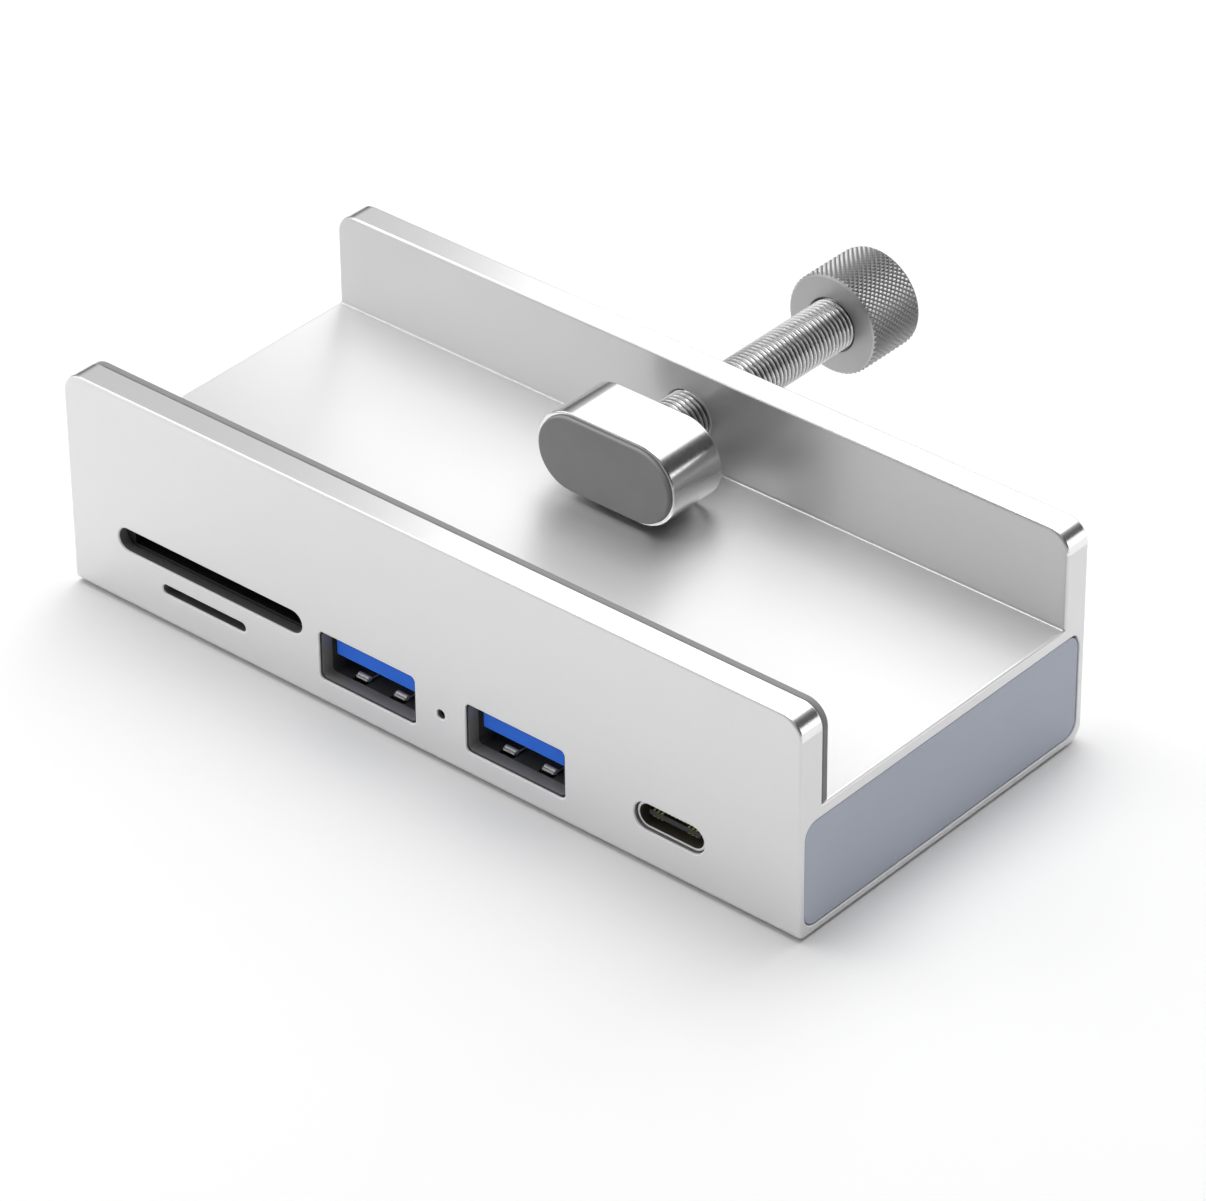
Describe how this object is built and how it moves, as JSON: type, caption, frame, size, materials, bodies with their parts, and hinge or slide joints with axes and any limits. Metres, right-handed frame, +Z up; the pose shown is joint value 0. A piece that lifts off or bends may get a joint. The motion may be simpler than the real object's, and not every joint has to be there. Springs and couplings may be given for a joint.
{
  "type": "clamp-on usb hub",
  "caption": "Aluminium USB hub with a card reader that clamps over a desk or monitor edge with a knurled thumbscrew and a padded jaw.",
  "frame": {"origin": "centre of the housing's flat underside, which is the middle of the extrusion and not of the whole bounding box, because the screw and knob stand out at the rear", "axes": "+X along the hub, to the right of someone who faces the front ports; +Y from the front ports to the rear, along the screw; +Z up"},
  "size_m": [0.1, 0.0745, 0.0265],
  "materials": {
    "anodised_aluminium": "bead-blasted, clear anodised, satin",
    "end_cap_plastic": "fine satin moulding",
    "grip_silicone": "matte silicone",
    "pad_silicone": "matte silicone",
    "board_fibreglass": "green solder mask",
    "chip_black": "moulded epoxy",
    "component_metal": "plain lid",
    "ferrite_grey": "pressed ferrite",
    "tantalum_yellow": "moulded epoxy",
    "capacitor_tan": "fired ceramic",
    "shell_steel": "nickel-plated sheet",
    "tongue_blue": "satin moulding",
    "socket_plastic": "glass-filled nylon",
    "contact_gold": "gold flash over nickel",
    "led_white": "diffusing resin",
    "light_pipe_clear": "clear acrylic",
    "screw_steel": "nickel plated, rolled thread",
    "knob_steel": "knurled, nickel plated",
    "jaw_polished": "polished and plated"
  },
  "bodies": {
    "hub": {"housing": "anodised_aluminium", "left_end_cap": "end_cap_plastic", "right_end_cap": "end_cap_plastic", "front_grip_strip": "grip_silicone", "main_board": "board_fibreglass", "hub_controller": "chip_black", "card_controller": "chip_black", "firmware_flash": "chip_black", "crystal": "component_metal", "buck_regulator": "chip_black", "power_inductor": "ferrite_grey", "bulk_capacitors": "tantalum_yellow", "ceramic_capacitors": "capacitor_tan", "chip_resistors": "chip_black", "esd_arrays": "chip_black", "left_usb_a_shell": "shell_steel", "left_usb_a_tongue": "tongue_blue", "left_usb_a_contacts": "contact_gold", "right_usb_a_shell": "shell_steel", "right_usb_a_tongue": "tongue_blue", "right_usb_a_contacts": "contact_gold", "front_usb_c_shell": "shell_steel", "front_usb_c_tongue": "socket_plastic", "front_usb_c_contacts": "contact_gold", "upstream_usb_c_shell": "shell_steel", "upstream_usb_c_tongue": "socket_plastic", "upstream_usb_c_contacts": "contact_gold", "sd_socket_base": "socket_plastic", "sd_socket_cover": "shell_steel", "sd_contacts": "contact_gold", "microsd_socket_base": "socket_plastic", "microsd_socket_cover": "shell_steel", "microsd_contacts": "contact_gold", "status_led": "led_white", "light_pipe": "light_pipe_clear"},
    "carriage": {"swivel_washer": "screw_steel"},
    "screw": {"clamp_screw": "screw_steel", "thumb_knob": "knob_steel", "retaining_clip": "screw_steel"},
    "jaw": {"clamp_jaw": "jaw_polished", "jaw_pad": "pad_silicone"}
  },
  "joints": [
    {"name": "jaw_travel", "type": "slide", "parent": "hub", "child": "carriage", "axis": [0, -1, 0], "range_m": [-0.0052, 0.0202]},
    {"name": "screw_turn", "type": "hinge", "parent": "carriage", "child": "screw", "pos_m": [0, 0.0142, 0.0204], "axis": [0, -1, 0], "range_deg": [-2990, 11620]},
    {"name": "jaw_swivel", "type": "hinge", "parent": "carriage", "child": "jaw", "pos_m": [0, 0.0101, 0.0204], "axis": [0, -1, 0], "range_deg": [-5, 5]}
  ],
  "couplings": [
    {"joint": "jaw_travel", "follows": "screw_turn", "m_per_rad": 0.000099472}
  ]
}
